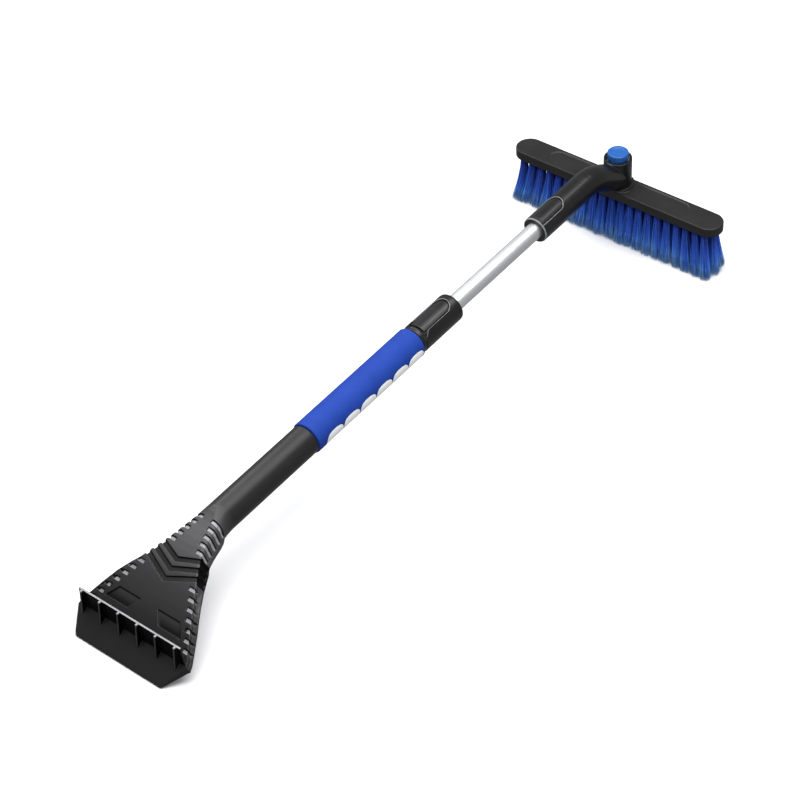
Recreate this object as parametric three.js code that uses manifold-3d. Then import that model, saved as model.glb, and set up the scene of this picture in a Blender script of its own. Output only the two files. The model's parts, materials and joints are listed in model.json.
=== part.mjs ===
// Telescopic snow brush with an ice scraper, in millimetres, +Z up.
// +Y runs from the scraper towards the brush, +X is across the brush, and Z = 0 is the floor
// that the bristle tips and the scraper's cutting edge rest on.
// "Reach" is a distance measured down the pole from the swivel axis towards the scraper, and
// "drop" is a distance measured square to the pole, downwards from its centre line.

import * as THREE from "three";
import { mergeVertices } from "three/addons/utils/BufferGeometryUtils.js";
import Module from "manifold-3d";

const wasm = await Module();
wasm.setup();

// ---------------------------------------------------------------- driving dimensions

const GAP = 0.3; // clearance between neighbouring pieces
const ROUND = 40; // sides of a large round piece
const ROUND_SMALL = 16; // sides of a small round piece

const POLE_SLOPE = THREE.MathUtils.degToRad(3.2); // the pole falls towards the scraper
const PLATE_TOP = 64.5; // height of the brush plate's top face
const AXIS_ABOVE_PLATE = 37.2; // pole centre line above the plate, at the swivel axis
const CENTRE_Y = 384.5; // puts the origin under the middle of the whole object

const PLATE = { length: 267, width: 31.8, thick: 10.7, bevel: 0.8 };
const PLATE_RECESS = { length: 182, width: 24.6, depth: 0.8 };
const PLATE_BOSS = { radius: 18.5, height: 2 };

// Three rows of bristles: their extent in Y at the plate and at the floor, and their lengths.
const BRISTLES = {
  front: { root: [-13.6, -4.6], tip: [-22, -7.8], rootLength: 246, tipLength: 264 },
  middle: { root: [-4, 4], tip: [-7.4, 7.4], rootLength: 256, tipLength: 270 },
  back: { root: [4.6, 13.6], tip: [7.8, 22], rootLength: 246, tipLength: 264 },
};

// The swivel's heights are all measured from the plate's top face.
const BARREL = { radius: 15.5, bore: 12.8, top: 33.7, webTop: 12, webBottom: 3.6 };
const ARM_RADIUS = 14.8;
const BUTTON = {
  radius: 10.7, rim: 11.7, rimBottom: 35.2, top: 41.2, bottom: 26.7, wall: 1.6, crown: 4,
};
const LOCK_TEETH = 12;
const WHEEL = { radius: 7.6, tooth: 1.2, bottom: 22, top: 26 };
const SLEEVE = { outer: 12.4, bottom: 19.5, top: 26.4, clearance: 0.4 };
const SPRING_SEAT = { inner: 8.7, outer: 10.4, top: 24 }; // ring-shaped pocket under the sleeve
const SPINDLE = { radius: 4.2, head: 7.2, neck: 3.1, screwHole: 2.2 };
const CLIP = { bottom: 12.3, top: 13.3, outer: 7 };
const BUTTON_RING = { inner: 11, outer: 12.5, bottom: 27, top: 28.6 };
const BUTTON_SPRING = { coil: 9.5, wire: 0.5, turns: 4, bottom: 12.8, top: 23.2 };

const TUBE = { radius: 9, wall: 1.2, from: 76, to: 488 }; // aluminium inner tube, by reach
const MOUTH_REACH = 151; // open end of the elbow
const COLLAR = { radius: 15.85, from: 292.5, to: 355, spigotTo: 385, spigot: 11.9 };
const CORE = { radius: 14, bore: 12.2, from: 355.3, to: 639 };
const GRIP = { from: 357, to: 519, radius: 17.25, skinInside: 16.75, foam: 16.45 };
const SCALLOP = { count: 6, first: 370.8, pitch: 24.9, radius: 12.1, drop: 8.1 };
const HANDLE_RADIUS = 16;
const HEAD_SCREW = 600; // reach of the screw that holds the scraper head

const FAN_SLOPE = Math.atan(0.61); // the scraper's face against the pole
const WALL = { reach: 771.5, faceDrop: 41.45, topDrop: 18.6, thick: 2, half: 65 };
const BLADE = { reach: 795, drop: 57.3, half: 53.5, edge: 1.4 };
const CORNER = { reach: 771.5, half: 68.5 };
const FINS = { count: 6, pitch: 23.4, thick: 2, topReach: 774.4, footReach: 778.6 };

// ---------------------------------------------------------------- solids and booleans

// Turns a closed geometry into a manifold solid that faces outwards.
function solid(geometry) {
  const plain = geometry.index ? geometry.toNonIndexed() : geometry.clone();
  plain.deleteAttribute("normal");
  plain.deleteAttribute("uv");
  const merged = mergeVertices(plain, 1e-4);
  const vertProperties = new Float32Array(merged.attributes.position.array);
  const triVerts = new Uint32Array(merged.index.array);
  const made = new wasm.Manifold(new wasm.Mesh({ numProp: 3, vertProperties, triVerts }));
  if (made.volume() >= 0) return made;
  const turned = triVerts.slice();
  for (let i = 0; i < turned.length; i += 3) {
    turned[i] = triVerts[i + 1];
    turned[i + 1] = triVerts[i];
  }
  return new wasm.Manifold(new wasm.Mesh({ numProp: 3, vertProperties, triVerts: turned }));
}

function join(...solids) {
  return solids.reduce((all, next) => all.add(next));
}

function cut(body, ...tools) {
  return tools.reduce((left, tool) => left.subtract(tool), body);
}

function geometryOf(body) {
  const mesh = body.getMesh();
  const positions = new Float32Array(mesh.numVert * 3);
  for (let i = 0; i < mesh.numVert; i++) {
    positions.set(mesh.vertProperties.subarray(i * mesh.numProp, i * mesh.numProp + 3), i * 3);
  }
  const geometry = new THREE.BufferGeometry();
  geometry.setAttribute("position", new THREE.BufferAttribute(positions, 3));
  geometry.setIndex(new THREE.BufferAttribute(new Uint32Array(mesh.triVerts), 1));
  geometry.computeVertexNormals();
  return geometry;
}

// ---------------------------------------------------------------- shared shapes

function box(x0, x1, y0, y1, z0, z1) {
  const geometry = new THREE.BoxGeometry(x1 - x0, y1 - y0, z1 - z0);
  geometry.translate((x0 + x1) / 2, (y0 + y1) / 2, (z0 + z1) / 2);
  return solid(geometry);
}

// A solid of revolution from [radius, height] corners, closed on the axis or on itself.
function turned(profile, sides = ROUND) {
  const points = profile.map(([r, h]) => new THREE.Vector2(r, h));
  return new THREE.LatheGeometry(points, sides);
}

function ringProfile(inner, outer, low, high) {
  return [[inner, low], [outer, low], [outer, high], [inner, high], [inner, low]];
}

function rodProfile(radius, low, high) {
  return [[0, low], [radius, low], [radius, high], [0, high]];
}

// Round pieces about the pole: heights run along the pole, so reach r sits at y = -r.
function alongPole(profile, sides) {
  const flipped = profile.map(([radius, reach]) => [radius, -reach]);
  return solid(turned(flipped, sides));
}

// Round pieces about a vertical line through the origin.
function upright(profile, sides) {
  const geometry = turned(profile, sides);
  geometry.rotateX(Math.PI / 2);
  return solid(geometry);
}

function rodAcross(radius, halfLength, y, z, sides = ROUND_SMALL) {
  const geometry = new THREE.CylinderGeometry(radius, radius, halfLength * 2, sides);
  geometry.rotateZ(Math.PI / 2);
  geometry.translate(0, y, z);
  return solid(geometry);
}

// A flat outline in X and Y, given a thickness from z0 to z1.
function slab(shape, z0, z1, bevel = 0) {
  const geometry = new THREE.ExtrudeGeometry(shape, {
    depth: z1 - z0 - 2 * bevel,
    curveSegments: 12,
    bevelEnabled: bevel > 0,
    bevelSize: bevel,
    bevelThickness: bevel,
    bevelOffset: -bevel,
    bevelSegments: 2,
  });
  geometry.translate(0, 0, z0 + bevel);
  return solid(geometry);
}

function outline(points) {
  return new THREE.Shape(points.map(([x, y]) => new THREE.Vector2(x, y)));
}

// A bar with two round ends, centred on the origin, its long side along X.
function stadium(length, width) {
  const radius = width / 2;
  const straight = length / 2 - radius;
  const shape = new THREE.Shape();
  shape.moveTo(-straight, -radius);
  shape.lineTo(straight, -radius);
  shape.absarc(straight, 0, radius, -Math.PI / 2, Math.PI / 2, false);
  shape.lineTo(-straight, radius);
  shape.absarc(-straight, 0, radius, Math.PI / 2, Math.PI * 1.5, false);
  return shape;
}

class HelixCurve extends THREE.Curve {
  constructor(radius, height, turns) {
    super();
    Object.assign(this, { radius, height, turns });
  }

  getPoint(t, target = new THREE.Vector3()) {
    const angle = t * this.turns * Math.PI * 2;
    return target.set(Math.cos(angle) * this.radius, Math.sin(angle) * this.radius, t * this.height);
  }
}

function wireSection(radius, sides) {
  const shape = new THREE.Shape();
  for (let i = 0; i < sides; i++) {
    const angle = (i / sides) * Math.PI * 2;
    const point = [Math.cos(angle) * radius, Math.sin(angle) * radius];
    if (i === 0) shape.moveTo(...point);
    else shape.lineTo(...point);
  }
  shape.closePath();
  return shape;
}

function coilSpring(coilRadius, wireRadius, height, turns) {
  return new THREE.ExtrudeGeometry(wireSection(wireRadius, 5), {
    steps: turns * 12,
    bevelEnabled: false,
    extrudePath: new HelixCurve(coilRadius, height, turns),
  });
}

// ---------------------------------------------------------------- materials

function material(color, roughness, metalness = 0) {
  return new THREE.MeshStandardMaterial({ color, roughness, metalness });
}

const MATERIALS = {
  blackPlastic: () => material(0x1b1b1d, 0.42),
  greyPlastic: () => material(0x2c2c2e, 0.5),
  blueFoam: () => material(0x2148b5, 0.85),
  whiteFoam: () => material(0xf1f1f3, 0.85),
  bluePlastic: () => material(0x2f7fe0, 0.35),
  nylon: () => material(0xe6e4da, 0.5),
  steel: () => material(0xb9bcc0, 0.3, 1),
  aluminium: () => material(0xd5d7da, 0.25, 1),
  rubber: () => material(0x2a2a2a, 0.9),
  bristle: () => material(0x1e3fbb, 0.6),
};

function part(name, geometry, finish) {
  const shape = geometry.isBufferGeometry ? geometryOf(solid(geometry)) : geometryOf(geometry);
  const mesh = new THREE.Mesh(shape, MATERIALS[finish]());
  mesh.name = name;
  return mesh;
}

// ---------------------------------------------------------------- scraper head

// Sections of the moulding, from the socket that meets the grip to the cutting edge.
// Each is [reach, half width, drop of the top, drop of the underside, corner radius].
const NECK_SECTIONS = [
  [519.6, HANDLE_RADIUS, -HANDLE_RADIUS, HANDLE_RADIUS, HANDLE_RADIUS],
  [640, HANDLE_RADIUS, -HANDLE_RADIUS, HANDLE_RADIUS, HANDLE_RADIUS],
  [645, 16, -15.7, 16, 15.4],
  [650, 16.1, -14.7, 15.9, 14],
  [655, 16.4, -13.2, 15.7, 12.2],
  [660, 16.8, -11.8, 15.4, 10.4],
  [666, 17.4, -10.4, 15.2, 8.7],
  [673, 18.5, -8.9, 15, 7.2],
  [680, 19.8, -7.2, 15, 6.1],
  [687, 21.7, -5.1, 15.1, 5.2],
  [694, 24.4, -2.6, 15.4, 4.5],
  [702, 28.3, 0.8, 16, 3.9],
  [712, 33.8, 5.6, 17.4, 3.4],
];
const FAN_EDGE = 6.4; // depth of the fan's side walls
const EDGE_RADIUS = 3;
const FAN_START = { reach: 712, half: 33.8, fullEdge: 733 }; // where the neck opens into the fan
const LIP = { start: 673, full: 694, startOut: -7, out: 0.5, thick: 2.6, radius: 1.1 };

// How much wider the moulding is at its underside than at its top: [reach, extra on each side].
const FLARE = [[655, 0], [662, 3.5], [690, 4.5], [702, 5.2], [745, 5.2], [758, 4.4], [771.5, 2.2], [795, 0]];

function faceDrop(reach) {
  return WALL.faceDrop + Math.tan(FAN_SLOPE) * (reach - WALL.reach);
}

function fanHalf(reach) {
  return THREE.MathUtils.mapLinear(reach, FAN_START.reach, CORNER.reach, FAN_START.half, CORNER.half);
}

function flareAt(reach) {
  const next = FLARE.findIndex(([at]) => at > reach);
  if (next < 1) return 0;
  const [[r0, f0], [r1, f1]] = [FLARE[next - 1], FLARE[next]];
  return THREE.MathUtils.mapLinear(reach, r0, r1, f0, f1);
}

function scraperSections() {
  const sections = [...NECK_SECTIONS];
  for (const reach of [722, 733, 745, 758]) {
    const top = faceDrop(reach);
    const deeper = Math.max(FAN_START.fullEdge - reach, 0) * 0.2;
    sections.push([reach, fanHalf(reach), top, top + FAN_EDGE + deeper, EDGE_RADIUS]);
  }
  sections.push([766, 66, faceDrop(766), faceDrop(766) + FAN_EDGE, 2.6]);
  sections.push([CORNER.reach, CORNER.half, WALL.faceDrop, WALL.faceDrop + FAN_EDGE, 2]);
  const lastTop = BLADE.drop - BLADE.edge;
  sections.push([792, 56.3, faceDrop(792), BLADE.drop - 1.1, 0.9]);
  sections.push([BLADE.reach, BLADE.half, lastTop, BLADE.drop, 0.6]);
  return sections;
}

// The corners of one section, a shape with four rounded corners and a wider underside.
function sectionPoints([reach, half, top, bottom, radius], perCorner = 9, flare = flareAt(reach)) {
  const points = [];
  const corners = [[half, -top - radius, 0], [-half, -top - radius, 90],
    [-half - flare, -bottom + radius, 180], [half + flare, -bottom + radius, 270]];
  for (const [edge, z, start] of corners) {
    for (let i = 0; i < perCorner; i++) {
      const angle = THREE.MathUtils.degToRad(start + ((i + 0.5) / perCorner) * 90);
      const x = edge - Math.sign(edge) * radius + Math.cos(angle) * radius;
      points.push(new THREE.Vector3(x, -reach, z + Math.sin(angle) * radius));
    }
  }
  return points;
}

// Skins a row of sections that all hold the same number of points, and caps both ends.
function loft(rings) {
  const count = rings[0].length;
  const positions = rings.flat().flatMap((p) => [p.x, p.y, p.z]);
  const index = [];
  for (let k = 0; k + 1 < rings.length; k++) {
    for (let i = 0; i < count; i++) {
      const a = k * count + i;
      const b = k * count + ((i + 1) % count);
      index.push(a, b, b + count, a, b + count, a + count);
    }
  }
  const last = (rings.length - 1) * count;
  for (let i = 1; i + 1 < count; i++) {
    index.push(0, i + 1, i, last, last + i, last + i + 1);
  }
  const geometry = new THREE.BufferGeometry();
  geometry.setAttribute("position", new THREE.Float32BufferAttribute(positions, 3));
  geometry.setIndex(index);
  return solid(geometry);
}

// The same moulding shrunk by a depth, which leaves grooves of that depth when it is kept.
function insetSections(sections, depth) {
  return sections.map(([reach, half, top, bottom, radius]) => {
    const smaller = Math.max(radius - depth, 0.3);
    return [reach, half - depth, top + depth, bottom - depth, smaller];
  });
}

// A lip along the bottom of both side walls. It grows out of the neck and ends at the corners.
function edgeLip(sections) {
  const along = sections.filter(([reach]) => reach >= LIP.start && reach <= CORNER.reach);
  return loft(along.map(([reach, half, , bottom]) => {
    const { mapLinear, clamp } = THREE.MathUtils;
    const out = clamp(mapLinear(reach, LIP.start, LIP.full, LIP.startOut, LIP.out), LIP.startOut, LIP.out);
    const lipHalf = half + flareAt(reach) + out;
    return sectionPoints([reach, lipHalf, bottom - LIP.thick, bottom, LIP.radius], 4, 0);
  }));
}

// Notches: "inner" is how far from the middle each row starts, "inset" how far in from the fan's
// side, and "low" the height at which a notch ends above the lip.
const NOTCH = { width: 3.8, depth: 1.7 };
const UPPER_NOTCHES = {
  count: 5, first: 658.2, pitch: 7.7, inner: 5, innerStep: 1.9, low: -4, lowStep: -0.6,
};
const LOWER_NOTCHES = {
  count: 7, first: 718.3, pitch: 7.2, width: 3.4, inset: 9.5, insetStep: 0.3, deep: 3.2,
};

// One notch on one side, from a distance out to well past the edge.
function notchBox(side, inner, reach, width, low) {
  const xs = [side * inner, side * 90].sort((a, b) => a - b);
  return box(xs[0], xs[1], -reach - width / 2, -reach + width / 2, low, low + 35);
}

// Short slots that wrap over both edges of the neck and the fan, and stop above the lip.
function notchTools() {
  const tools = [];
  for (const side of [-1, 1]) {
    for (let i = 0; i < UPPER_NOTCHES.count; i++) {
      const { first, pitch, inner, innerStep, low, lowStep } = UPPER_NOTCHES;
      tools.push(notchBox(side, inner + i * innerStep, first + i * pitch, NOTCH.width, low + i * lowStep));
    }
    for (let i = 0; i < LOWER_NOTCHES.count; i++) {
      const { first, pitch, width, inset, insetStep, deep } = LOWER_NOTCHES;
      const reach = first + i * pitch;
      const inner = fanHalf(reach) - inset + i * insetStep;
      tools.push(notchBox(side, inner, reach, width, -faceDrop(reach) - deep));
    }
  }
  return tools;
}

const CHEVRON = {
  count: 3, first: 703.2, pitch: 9.2, width: 4.9, sweep: 0.34, sweepStep: 0.03, low: -12.5, deep: 3.6,
};

// Three V grooves that point at the blade, run over both edges and stop above the lip.
function chevronTools() {
  const tools = [];
  for (let i = 0; i < CHEVRON.count; i++) {
    const apex = -(CHEVRON.first + i * CHEVRON.pitch);
    const half = CHEVRON.width / 2;
    const reachOut = 60;
    const rise = reachOut * (CHEVRON.sweep + i * CHEVRON.sweepStep);
    const low = Math.min(CHEVRON.low, -faceDrop(-apex) - CHEVRON.deep);
    const shape = outline([
      [0, apex - half], [reachOut, apex + rise - half], [reachOut, apex + rise + half],
      [0, apex + half], [-reachOut, apex + rise + half], [-reachOut, apex + rise - half],
    ]);
    tools.push(slab(shape, low, 40));
  }
  return tools;
}

const POCKET = { depth: 1.6, rear: 744.6, front: 756, innerRear: 10.8, innerFront: 20.3, width: 27 };

// Two slanted pockets in the fan, behind the wall. Each floor lies parallel to the fan's face.
function pocketTools() {
  return [-1, 1].map((side) => {
    const corners = [
      [POCKET.innerRear, POCKET.rear], [POCKET.innerRear + POCKET.width, POCKET.rear],
      [POCKET.innerFront + POCKET.width, POCKET.front], [POCKET.innerFront, POCKET.front],
    ];
    const stretch = 1 / Math.cos(FAN_SLOPE);
    const shape = outline(corners.map(([x, reach]) => [side * x, (WALL.reach - reach) * stretch]));
    const geometry = new THREE.ExtrudeGeometry(shape, { depth: 12, bevelEnabled: false });
    geometry.translate(0, 0, -POCKET.depth);
    geometry.rotateX(FAN_SLOPE);
    geometry.translate(0, -WALL.reach, -WALL.faceDrop);
    return solid(geometry);
  });
}

// The upright wall across the fan, with its right-hand and left-hand ends sloping in to the top.
function wallSolid() {
  const shape = outline([
    [-WALL.half - 1, -WALL.faceDrop - 3], [WALL.half + 1, -WALL.faceDrop - 3],
    [WALL.half - 1.4, -WALL.topDrop], [-WALL.half + 1.4, -WALL.topDrop],
  ]);
  const geometry = new THREE.ExtrudeGeometry(shape, { depth: WALL.thick, bevelEnabled: false });
  geometry.rotateX(Math.PI / 2);
  geometry.translate(0, -WALL.reach + WALL.thick, 0);
  return solid(geometry);
}

// Triangular fins that stand in front of the wall, on the blade.
function finSolids() {
  const fins = [];
  const profile = [
    [FINS.topReach, -WALL.topDrop + 0.6], [FINS.footReach, -faceDrop(FINS.footReach) - 1.5],
    [WALL.reach - 1, -WALL.faceDrop - 2], [WALL.reach - 1, -WALL.topDrop + 0.6],
  ];
  for (let i = 0; i < FINS.count; i++) {
    const x = (i - (FINS.count - 1) / 2) * FINS.pitch;
    fins.push(sideSlab(profile, x, FINS.thick));
  }
  return fins;
}

// A [reach, height] outline given a thickness across x, centred on x.
function sideSlab(profile, x, thick) {
  const shape = outline(profile.map(([reach, height]) => [-reach, height]));
  const geometry = new THREE.ExtrudeGeometry(shape, { depth: thick, bevelEnabled: false });
  geometry.rotateX(Math.PI / 2);
  geometry.rotateZ(Math.PI / 2);
  geometry.translate(x - thick / 2, 0, 0);
  return solid(geometry);
}

// The hollow under the fan: [reach, how far its ceiling lies under the plane of the fan's face].
const HOLLOW = [[700, 8.4], [712, 6.4], [724, 4.6], [740, 3.4], [766, 3]];

const RIB = { x: 16, thick: 2 };
const SIDE_WALL = 4.1;

// The hollow leaves the side walls, a ceiling and two ribs from front to back.
function underside() {
  const rings = HOLLOW.map(([reach, under]) => {
    const half = Math.max(fanHalf(reach) - SIDE_WALL, 20);
    const top = faceDrop(reach) + under;
    return sectionPoints([reach, half, top, top + 40, 1.5]);
  });
  const ribSide = [[690, 0], [790, 0], [790, -90], [690, -90]];
  const ribs = [-1, 1].map((side) => sideSlab(ribSide, side * RIB.x, RIB.thick));
  return cut(loft(rings), ...ribs);
}

function scraperHead() {
  const sections = scraperSections();
  const body = loft(sections.map((s) => sectionPoints(s)));
  const kept = loft(insetSections(sections, NOTCH.depth).map((s) => sectionPoints(s)));
  const grooves = cut(join(...notchTools(), ...chevronTools()), kept);
  const socket = alongPole(rodProfile(CORE.radius + GAP, 510, CORE.to + 1));
  const screwHole = screwTool(HEAD_SCREW, 1.9);
  const notched = cut(body, grooves, ...pocketTools());
  const hollowed = cut(join(notched, edgeLip(sections)), underside(), socket, screwHole);
  return join(hollowed, wallSolid(), ...finSolids());
}

// A straight hole under the pole, square to it.
function screwTool(reach, radius) {
  const geometry = new THREE.CylinderGeometry(radius, radius, 20, ROUND_SMALL);
  geometry.rotateX(Math.PI / 2);
  geometry.translate(0, -reach, -16);
  return solid(geometry);
}

// A pan-head screw that points up into the pole, its head resting on the surface at "drop".
function poleScrew(name, reach, drop, length) {
  const geometry = turned([[0, length], [1.5, length - 1], [1.5, 0], [3.2, 0], [3.2, -1.2],
    [2.2, -2], [0, -2]], ROUND_SMALL);
  geometry.rotateX(Math.PI / 2);
  const mesh = part(name, geometry, "steel");
  mesh.position.set(0, -reach, -drop);
  return mesh;
}

// ---------------------------------------------------------------- handle and grip

function handleTube() {
  const tube = alongPole(ringProfile(CORE.bore, CORE.radius, CORE.from, CORE.to));
  return cut(tube, screwTool(HEAD_SCREW, 1.9));
}

// The white foam layer, which shows in the scallops of the blue one.
function whiteFoam() {
  return alongPole(ringProfile(CORE.radius + GAP, GRIP.foam, GRIP.from, GRIP.to));
}

function blueFoam() {
  const skin = alongPole([
    [GRIP.skinInside, GRIP.from], [GRIP.radius - 0.5, GRIP.from], [GRIP.radius, GRIP.from + 1],
    [GRIP.radius, GRIP.to - 1], [GRIP.radius - 0.5, GRIP.to], [GRIP.skinInside, GRIP.to],
    [GRIP.skinInside, GRIP.from],
  ]);
  const bites = [];
  for (let i = 0; i < SCALLOP.count; i++) {
    const reach = SCALLOP.first + i * SCALLOP.pitch;
    bites.push(rodAcross(SCALLOP.radius, 30, -reach, -SCALLOP.drop, 20));
  }
  return cut(skin, ...bites);
}

// ---------------------------------------------------------------- lock collar and its lever

const COLLAR_BORE = 10.2;
const COLLAR_SCREW = 312; // reach of the collar's screw

const LEVER = { from: 302, to: 347, half: 9.2, pivot: 331, outer: 14.7, inner: 12.3, edge: 10 };
const LATCH = { from: 108.7, to: 147, half: 9.4, pivot: 131, outer: 13.9, inner: 11.4, edge: 9.6 };
const LATCH_PEG = { reach: 141, radius: 2, bottom: 8.4 };
const PIVOT = { height: 7, radius: 1, inner: 8, outer: 12.2 };
const SLOT_GAP = 0.9; // dark line round a tongue
const SLOT_FLOOR = 5; // height of the bottom of a tongue's window above the pole's centre line

// The outline of a lever or of its slot, seen from above: a tongue with one round end.
function tongueOutline(from, to, half) {
  const shape = new THREE.Shape();
  shape.moveTo(-half, -to);
  shape.lineTo(half, -to);
  shape.lineTo(half, -(from + half));
  shape.absarc(0, -(from + half), half, 0, Math.PI, false);
  shape.closePath();
  return shape;
}

// The window that a tongue moves in, with room for it to rock.
function tongueSlot(lever) {
  const window = tongueOutline(lever.from - SLOT_GAP, lever.to + 2 * GAP, lever.half + SLOT_GAP);
  return slab(window, SLOT_FLOOR, 30);
}

function pivotHoles(lever) {
  return rodAcross(PIVOT.radius + GAP, PIVOT.outer + GAP, -lever.pivot, PIVOT.height, 16);
}

function collarBody() {
  const { radius, from, to, spigot, spigotTo } = COLLAR;
  const shell = alongPole([
    [COLLAR_BORE, from], [radius - 1.4, from], [radius - 0.4, from + 0.8], [radius, from + 2.6],
    [radius, to - 4.5], [radius - 0.9, to - 4], [radius - 0.9, to], [spigot, to],
    [spigot, spigotTo], [COLLAR_BORE, spigotTo], [COLLAR_BORE, from],
  ]);
  const flare = slab(outline([
    [-LEVER.half, -342], [LEVER.half, -342], [LEVER.half + 4.2, -350], [-LEVER.half - 4.2, -350],
  ]), COLLAR_BORE + 1.3, 30);
  return cut(shell, tongueSlot(LEVER), flare, pivotHoles(LEVER), screwTool(COLLAR_SCREW, 1.9));
}

// A pressed tongue: it rocks on two stub pins, so one end goes in as the other end lifts.
function tongueBody(lever) {
  const shell = alongPole(ringProfile(lever.inner, lever.outer, lever.from - 5, lever.to + 5));
  const plan = slab(tongueOutline(lever.from, lever.to, lever.half), lever.edge, 30);
  const ears = [-1, 1].map((side) => {
    const xs = [side * (PIVOT.inner - 0.2), side * lever.half].sort((a, b) => a - b);
    return box(xs[0], xs[1], -lever.pivot - 2.4, -lever.pivot + 2.4, PIVOT.height - 1.4, lever.edge + 1);
  });
  return cut(join(shell.intersect(plan), ...ears), pivotHoles(lever));
}

function pivotPin(lever, side) {
  const { radius, inner, outer, height } = PIVOT;
  const geometry = new THREE.CylinderGeometry(radius, radius, outer - inner, 16);
  geometry.rotateZ(Math.PI / 2);
  geometry.translate(side * (inner + outer) / 2, -lever.pivot, height);
  return geometry;
}

function brakePad() {
  const top = LEVER.inner - GAP - 0.4;
  const block = box(-4, 4, -(LEVER.to - 1.5), -(LEVER.pivot + 5), 8, top);
  return cut(block, alongPole(rodProfile(TUBE.radius + 0.35, LEVER.pivot, LEVER.to + 5)));
}

function collarBush() {
  const rim = alongPole(ringProfile(TUBE.radius + 0.15, COLLAR_BORE - GAP, COLLAR.from + 0.5, 321));
  return cut(rim, screwTool(COLLAR_SCREW, 1.9));
}

// ---------------------------------------------------------------- inner tube and elbow

function innerTube() {
  const tube = alongPole(ringProfile(TUBE.radius - TUBE.wall, TUBE.radius, TUBE.from, TUBE.to), 40);
  return cut(tube, uprightPeg(LATCH_PEG.radius + 0.4, 4, 16));
}

// A short upright cylinder where the latch's peg drops into the tube.
function uprightPeg(radius, low, high) {
  const geometry = new THREE.CylinderGeometry(radius, radius, high - low, ROUND_SMALL);
  geometry.rotateX(Math.PI / 2);
  geometry.translate(0, -LATCH_PEG.reach, (low + high) / 2);
  return solid(geometry);
}

function tubeSlider() {
  const plug = TUBE.radius - TUBE.wall - GAP;
  const wide = CORE.bore - 0.25;
  return alongPole([
    [0, TUBE.to - 18], [plug, TUBE.to - 18], [plug, TUBE.to + GAP], [wide, TUBE.to + GAP],
    [wide, TUBE.to + 8], [wide - 1.3, TUBE.to + 9.5], [0, TUBE.to + 9.5],
  ]);
}

// The arm leaves the barrel low and bends up onto the pole: [reach, height above the plate's top].
const ARM_BEND = [[0, 12], [24, 14], [36, 36], [66, 33.5]];

function armBend() {
  const path = new THREE.CubicBezierCurve3(
    ...ARM_BEND.map(([reach, height]) => new THREE.Vector3(0, -reach, height)),
  );
  return solid(new THREE.ExtrudeGeometry(wireSection(ARM_RADIUS, 36), {
    steps: 12,
    bevelEnabled: false,
    extrudePath: path,
  }));
}

// Moves a solid from the sloping pole's own frame to the upright one over the plate.
function fromPole(body) {
  const geometry = geometryOf(body);
  geometry.rotateX(POLE_SLOPE);
  geometry.translate(0, 0, AXIS_ABOVE_PLATE);
  return solid(geometry);
}

function elbowHousing() {
  const mouth = MOUTH_REACH;
  const straight = fromPole(alongPole([
    [0, 64.5], [ARM_RADIUS, 64.5], [ARM_RADIUS, mouth - 0.9], [ARM_RADIUS - 0.9, mouth], [0, mouth],
  ], 36));
  const barrel = upright(rodProfile(BARREL.radius, 0, BARREL.top));
  const poleCuts = join(
    alongPole(rodProfile(TUBE.radius + GAP, TUBE.from - 1, mouth + 20)),
    tongueSlot(LATCH),
    pivotHoles(LATCH),
  );
  const boreRim = BARREL.bore + 0.6;
  const bore = upright([
    [0, BARREL.webTop], [BARREL.bore, BARREL.webTop], [BARREL.bore, BARREL.top - 0.6],
    [boreRim, BARREL.top + 0.1], [boreRim, BARREL.top + 5], [0, BARREL.top + 5],
  ]);
  const spindleHole = upright(rodProfile(SPINDLE.radius + GAP, -5, BARREL.webTop + 1), ROUND_SMALL);
  const washerSeat = upright(rodProfile(WASHER.outer + GAP, -5, BARREL.webBottom));
  const below = box(-60, 60, -200, 60, -60, PLATE_BOSS.height + GAP);
  const body = join(armBend(), straight, barrel);
  return cut(body, below, bore, spindleHole, washerSeat, fromPole(poleCuts));
}

function elbowLatch() {
  return join(tongueBody(LATCH), uprightPeg(LATCH_PEG.radius, LATCH_PEG.bottom, 12.5));
}

// ---------------------------------------------------------------- swivel and push button

const WASHER = { inner: 4.6, outer: 13 };

function thrustWasher() {
  const { inner, outer } = WASHER;
  return upright(ringProfile(inner, outer, PLATE_BOSS.height + GAP, BARREL.webBottom - GAP), 32);
}

function pushButton() {
  const { radius, rim, rimBottom, top, bottom, wall, crown } = BUTTON;
  return upright([
    [0, top - 1.9], [3.4, top - 1.7], [6.6, top - 1.1], [9.2, top - 0.2], [10.4, top], [11.3, top - 0.4],
    [rim, top - 1.2], [rim, rimBottom], [radius, rimBottom - 1], [radius, bottom],
    [radius - wall, bottom], [radius - wall, top - crown], [0, top - crown],
  ], 40);
}

// Toothed outlines share one tooth count, so the wheel drops into the sleeve at every tooth.
function toothedShape(radius, tooth) {
  const shape = new THREE.Shape();
  const step = (Math.PI * 2) / LOCK_TEETH;
  for (let i = 0; i < LOCK_TEETH; i++) {
    const corners = [[-0.25, radius], [-0.16, radius + tooth], [0.16, radius + tooth], [0.25, radius]];
    corners.forEach(([turn, r], k) => {
      const angle = (i + turn) * step;
      const point = [Math.cos(angle) * r, Math.sin(angle) * r];
      if (i === 0 && k === 0) shape.moveTo(...point);
      else shape.lineTo(...point);
    });
  }
  shape.closePath();
  return shape;
}

// The sleeve hangs under the button: its inner teeth hold the lock wheel until it is pushed down.
// The spring's upper turns sit in a pocket in its underside.
function lockSleeve() {
  const { outer, bottom, top, clearance } = SLEEVE;
  const ring = upright(rodProfile(outer, bottom, top), 40);
  const teeth = toothedShape(WHEEL.radius - WHEEL.tooth + clearance, WHEEL.tooth);
  const seat = upright(ringProfile(SPRING_SEAT.inner, SPRING_SEAT.outer, bottom - 1, SPRING_SEAT.top));
  return cut(ring, slab(teeth, bottom - 1, top + 1), seat);
}

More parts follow.
